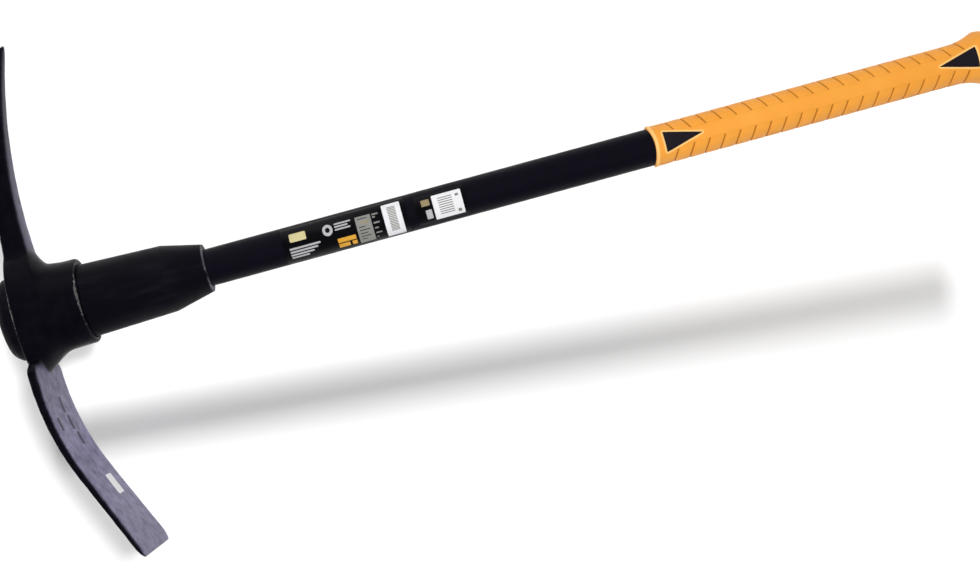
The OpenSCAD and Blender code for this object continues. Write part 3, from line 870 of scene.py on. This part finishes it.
black_film = film_finish("black_film", "040407", "09080D", 0.42)
white_paper = film_finish("white_sticker_paper", "DAD9DD", "EDECEE", 0.5)
amber_ink = film_finish("amber_ink", "C98F2C", "E3AC43", 0.45)
grey_ink = film_finish("grey_ink", "66675F", "8A8B83", 0.45)
pale_ink = film_finish("pale_ink", "9C9B9E", "C6C5C6", 0.45)
cream_ink = film_finish("cream_ink", "BDB27E", "D8CE9F", 0.45)
gold_ink = film_finish("dull_gold_ink", "7C6E4E", "A39470", 0.45)
panel_ink = film_finish("light_grey_ink", "797975", "93938E", 0.45)

# Each layer's lower and upper height over the jacket, from the films up to the print on the papers.
film_layer, print_layer, gold_layer, paper_layer = (0.02, 0.1), (0.08, 0.15), (0.08, 0.18), (0.08, 0.2)
overprint_layer, paper_print_layer = (0.13, 0.18), (0.18, 0.23)

films = round_shaft([(253, 366, -74, 58), (374, 420, -58, 40)])
label("black_films", black_film, "jacket", lay_on_shaft, film_layer, films, 2)
stickers = round_shaft([(345, 361.6, -69, 45), (390, 416.7, -50, 30)])
label("white_stickers", white_paper, "jacket", lay_on_shaft, paper_layer, stickers, 0.8)
amber = round_shaft([(301, 317.5, -38, -23), (301, 311, -58, -42), (313, 317.5, -58, -42)])
label("amber_blocks", amber_ink, "jacket", lay_on_shaft, print_layer, amber, 0.4)
cream = round_shaft([(260, 275, 3, 30)])
label("cream_block", cream_ink, "jacket", lay_on_shaft, print_layer, cream, 1.2)
gold = round_shaft([(380, 387.5, 3, 23), (325, 332, 3, 8)])
label("gold_blocks", gold_ink, "jacket", lay_on_shaft, gold_layer, gold, 0.4)
pale = round_shaft([
    (258, 286, -20, -14), (258, 283, -30, -24), (258, 279, -40, -34), (258, 274, -50, -44),
    (382.5, 388, -40, -10),
    (301, 316, 21, 26), (301, 313, 12, 17), (301, 315, 3, 8),
])
badge_x, badge_y, badge_r, badge_hole = 294.5, 2.8, 4.6, 0.45
badge = [(badge_x, badge_y, badge_r)]
label("pale_rows", pale_ink, "jacket", lay_on_shaft, print_layer, pale, 0.3, badge)
hole = [(badge_x, badge_y, badge_r * badge_hole)]
label("badge_centre", black_film, "jacket", lay_on_shaft, overprint_layer, [], 0.3, hole)
panel = round_shaft(
    [(320, 334, -63, 27)]
    + [(335.5, end, turn, turn + 5) for end, turn in ((341, 20), (338, 11), (341, -7))]
    + [(335.5, end, turn, turn + 5) for end, turn in ((339, -23), (341, -39), (337, -55))]
)
label("grey_panel", panel_ink, "jacket", lay_on_shaft, print_layer, panel, 0.3)
panel_bars = round_shaft(
    [(322, end, turn, turn + 2.5) for end, turn in ((331, 17), (328, -8), (332, -18))]
    + [(322, end, turn, turn + 2.5) for end, turn in ((329, -28), (331, -38), (327, -48))]
)
label("panel_rows", black_film, "jacket", lay_on_shaft, overprint_layer, panel_bars, 0.2)
sticker_bars = round_shaft(
    [(349.5, 357, turn, turn + 3) for turn in range(-46, 32, 5)]
    + [(395, 408, turn, turn + 3) for turn in range(-34, 20, 7)]
    + [(411, 414, 10, 18), (411, 414, -40, -30)]
)
label("sticker_rows", grey_ink, "jacket", lay_on_shaft, paper_print_layer, sticker_bars, 0.2)


# Blade marks
# Plain bars of ink on the inner face of the blade: dark ones near the root and a white block by the
# edge. They are printed with a soft pad, so they follow the blade's bend.
def lay_on_blade(bm):
    """Bends flat films, drawn with the run along the blade as x, onto the blade's inner face."""
    for v in bm.verts:
        x, y, turn, thick = blade_line(v.co.x)
        out = thick / 2 + v.co.z
        v.co = (x + math.cos(turn) * out, y + math.sin(turn) * out, v.co.y)


# Printed ink on lacquer: dull, and rooted in the skin, which waves under it.
blade_layer = (-0.6, 0.22)
dark_ink = film_finish("dark_ink", "2B2838", "45415A", 0.5)
white_ink = film_finish("white_ink", "EDEDEF", "FBFBFB", 0.5)
dark_bars = [(26, 41, -4.5, 1), (44, 58, -8, -2.5), (61, 74, -11, -5.5), (44, 57, 21, 26.5)]
label("dark_bars", dark_ink, "head", lay_on_blade, blade_layer, dark_bars, 1)
label("white_bar", white_ink, "head", lay_on_blade, blade_layer, [(108, 129, -19, -3)], 2)


# Floor, light and camera
# A plain pale floor under a soft dome that is bright low down and dark overhead. A softbox and a soft
# key light the tool alone. Two lamps light the floor alone: a low one throws the handle's shadow far
# across it, and a high one the head's shadow close by, as in the photograph. Sizes here are in metres.
floor_half, floor_z, floor_fall, floor_glow = 60, -0.075, -0.07, 0.02
bm = bmesh.new()
bmesh.ops.create_grid(bm, x_segments=1, y_segments=1, size=floor_half)
bmesh.ops.translate(bm, vec=(0, 0, floor_z), verts=bm.verts)
for v in bm.verts:
    v.co.z += floor_fall * v.co.x
mesh = bpy.data.meshes.new("floor")
bm.to_mesh(mesh)
bm.free()
floor = bpy.data.objects.new("floor", mesh)
bpy.context.scene.collection.objects.link(floor)

# Matt white board, lifted a little where it is seen, straight or in a gloss, so that it stays white.
pale_floor, tree, _ = new_finish("pale_floor")
rays = add(tree, "LightPath")
seen = add(tree, "Math", {
    0: rays.outputs["Is Camera Ray"], 1: rays.outputs["Is Glossy Ray"],
}, operation="MAXIMUM")
seen = add(tree, "Math", {
    0: seen.outputs[0], 1: rays.outputs["Is Transmission Ray"],
}, operation="MAXIMUM")
glow = add(tree, "Math", {0: seen.outputs[0], 1: floor_glow}, operation="MULTIPLY")
matt = add(tree, "BsdfDiffuse", {"Color": linear("EDEDED")})
lift = add(tree, "Emission", {"Color": (1, 1, 1, 1), "Strength": glow.outputs[0]})
both = add(tree, "AddShader", {0: matt.outputs[0], 1: lift.outputs[0]})
add(tree, "OutputMaterial", {"Surface": both.outputs[0]})
floor.data.materials.append(pale_floor)

side_level, overhead_level = 0.16, 0.02
world = bpy.data.worlds.new("soft_dome")
world.use_nodes = True
bpy.context.scene.world = world
tree = world.node_tree
tree.nodes.clear()
way = add(tree, "SeparateXYZ", {0: add(tree, "TexCoord").outputs["Generated"]})
upper = add(tree, "MapRange", {
    "Value": way.outputs["Z"],
    "From Min": 0.3,
    "From Max": 0.8,
    "To Min": side_level,
    "To Max": overhead_level,
}, interpolation_type="SMOOTHSTEP")
lower = add(tree, "MapRange", {
    "Value": way.outputs["Z"], "From Min": 0.02, "From Max": 0.08, "To Min": 1, "To Max": 0,
})
level = add(tree, "Math", {0: upper.outputs[0], 1: lower.outputs[0]}, operation="MAXIMUM")
sky = add(tree, "Background", {"Color": (1, 1, 1, 1), "Strength": level.outputs[0]})
add(tree, "OutputWorld", {"Surface": sky.outputs[0]})

image_up = Vector((0.2646, 0.9643, 0))
image_right = Vector((0.9643, -0.2646, 0))
tool_middle = Vector((0.42, -0.02, 0))


def lamp(name, kind, towards, power):
    """A lamp that shines on the middle of the tool from a direction."""
    data = bpy.data.lights.new(name, kind)
    data.energy = power
    made = bpy.data.objects.new(name, data)
    made.location = tool_middle + towards
    made.rotation_euler = towards.to_track_quat("Z", "Y").to_euler()
    bpy.context.scene.collection.objects.link(made)
    return made


def slanted(way, angle):
    """A level direction, raised by an angle in degrees."""
    return way * math.cos(math.radians(angle)) + Vector((0, 0, math.sin(math.radians(angle))))


softbox = lamp("top_softbox", "AREA", Vector((0, 0, 1.9)), power=47.5)
softbox.data.size = 1.6
softbox.visible_glossy = False
key = lamp("soft_key", "AREA", image_up * 1.3 - image_right * 0.9 + Vector((0, 0, 1.2)), power=2.5)
key.data.size = 0.9
far_way = slanted(image_up * 0.9945 - image_right * 0.105, angle=33)
near_way = slanted(image_right * 0.88 + image_up * 0.475, angle=65.5)
far = lamp("far_shadow_lamp", "SUN", far_way, power=3.8)
near = lamp("near_shadow_lamp", "SUN", near_way, power=1.82)

# The handle's slim rod throws the far shadow, because the whole handle would make it too wide.
for made, blocker, softness in ((far, nodes["fibreglass_core"], 7.5), (near, forged_head, 9)):
    made.data.angle = math.radians(softness)
    shadowed = bpy.data.collections.new(made.name + "_shadows")
    shadowed.objects.link(blocker)
    made.light_linking.blocker_collection = shadowed
for made, state in ((far, "INCLUDE"), (near, "INCLUDE"), (softbox, "EXCLUDE"), (key, "EXCLUDE")):
    lit_floor = bpy.data.collections.new(made.name + "_lights")
    lit_floor.objects.link(floor)
    lit_floor.collection_objects[0].light_linking.link_state = state
    made.light_linking.receiver_collection = lit_floor

# The camera stands where the tool's outline fits the photograph's: almost straight over the handle.
camera_data = bpy.data.cameras.new("camera")
camera_data.sensor_width = 36
camera_data.lens = 47.195
camera = bpy.data.objects.new("camera", camera_data)
camera.location = (0.39265, -0.09715, 1.14652)
camera.rotation_euler = [math.radians(a) for a in (0.7417, -1.1186, -15.36)]
bpy.context.scene.collection.objects.link(camera)
bpy.context.scene.camera = camera
bpy.context.scene.view_settings.view_transform = "Standard"
